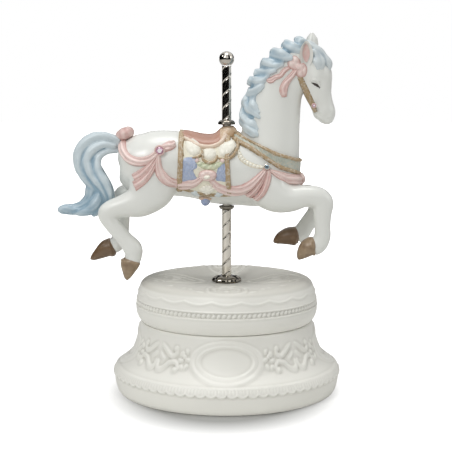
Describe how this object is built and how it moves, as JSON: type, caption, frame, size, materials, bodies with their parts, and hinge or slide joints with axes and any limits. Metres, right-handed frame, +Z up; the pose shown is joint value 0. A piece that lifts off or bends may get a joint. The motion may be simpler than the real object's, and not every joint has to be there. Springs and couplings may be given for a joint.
{
  "type": "wind-up music box",
  "caption": "Wind-up music box: a porcelain carousel horse on a twisted pole turns on a round carved base that hides a spring movement, its key underneath.",
  "frame": {"origin": "on the table under the middle of the whole outline; the turning axis stands 13.3 mm ahead of it", "axes": "+Z up along the pole, +X the way the horse faces, -Y the front that the picture shows"},
  "size_m": [0.141, 0.115, 0.1786],
  "materials": {
    "bisque": "unglazed off-white porcelain, matte, light grey in the hollows of its relief",
    "porcelain": "satin glazed white porcelain with soft painted pink, blue, green, tan and gold",
    "chrome": "bright plated metal",
    "brass": "plain stamped brass",
    "steel": "satin steel",
    "zinc": "die-cast zinc, dull grey",
    "nylon": "natural moulded nylon",
    "cover_board": "dark matte board",
    "pink_crystal": "faceted pink crystal",
    "clear_crystal": "faceted pale blue crystal"
  },
  "bodies": {
    "stand": {"flared_base": "bisque", "platform_drum": "bisque", "pole_bushing": "brass", "bottom_cover": "cover_board", "cover_screw_1": "steel", "cover_screw_2": "steel", "cover_screw_3": "steel", "bedplate": "zinc", "movement_screw_1": "steel", "movement_screw_2": "steel", "movement_screw_3": "steel", "tone_comb": "steel", "comb_screw_1": "steel", "comb_screw_2": "steel", "cylinder_bracket_left": "brass", "cylinder_bracket_right": "brass", "governor_frame": "zinc", "governor_bracket": "brass"},
    "figure": {"spring_barrel": "brass", "mainspring": "steel", "output_spindle": "steel", "shaft_sleeve": "brass", "pole": "chrome", "deck_collar": "chrome", "belly_collar": "chrome", "saddle_collar": "chrome", "ball_finial": "chrome", "horse": "porcelain", "rump_gem_near": "pink_crystal", "rump_gem_far": "pink_crystal", "chest_gem_near": "clear_crystal", "chest_gem_far": "clear_crystal", "bridle_gem_near": "pink_crystal", "bridle_gem_far": "pink_crystal"},
    "key": {"winding_key": "brass", "winding_arbor": "steel"},
    "cylinder": {"pinned_cylinder": "brass", "cylinder_gear": "brass", "crown_pinion": "brass", "cylinder_arbor": "steel"},
    "governor": {"governor_wheel": "nylon"},
    "fly": {"governor_worm": "steel", "air_brake": "nylon"}
  },
  "joints": [
    {"name": "figure_turn", "type": "hinge", "parent": "stand", "child": "figure", "pos_m": [0.0133, 0, 0.0545], "axis": [0, 0, 1], "continuous": true},
    {"name": "winding_key_turn", "type": "hinge", "parent": "stand", "child": "key", "pos_m": [0.0133, 0, 0.015], "axis": [0, 0, 1], "range_deg": [0, 2250]},
    {"name": "cylinder_spin", "type": "hinge", "parent": "stand", "child": "cylinder", "pos_m": [0.0319, 0, 0.02922], "axis": [1, 0, 0], "continuous": true},
    {"name": "governor_spin", "type": "hinge", "parent": "stand", "child": "governor", "pos_m": [0.029, 0.0105, 0.02922], "axis": [1, 0, 0], "continuous": true},
    {"name": "fly_spin", "type": "hinge", "parent": "stand", "child": "fly", "pos_m": [0.0344, 0.0153, 0.02922], "axis": [0, 0, 1], "continuous": true}
  ],
  "couplings": [
    {"joint": "cylinder_spin", "follows": "figure_turn", "ratio": 3.3333},
    {"joint": "governor_spin", "follows": "figure_turn", "ratio": -14.167},
    {"joint": "fly_spin", "follows": "figure_turn", "ratio": 198.33}
  ]
}
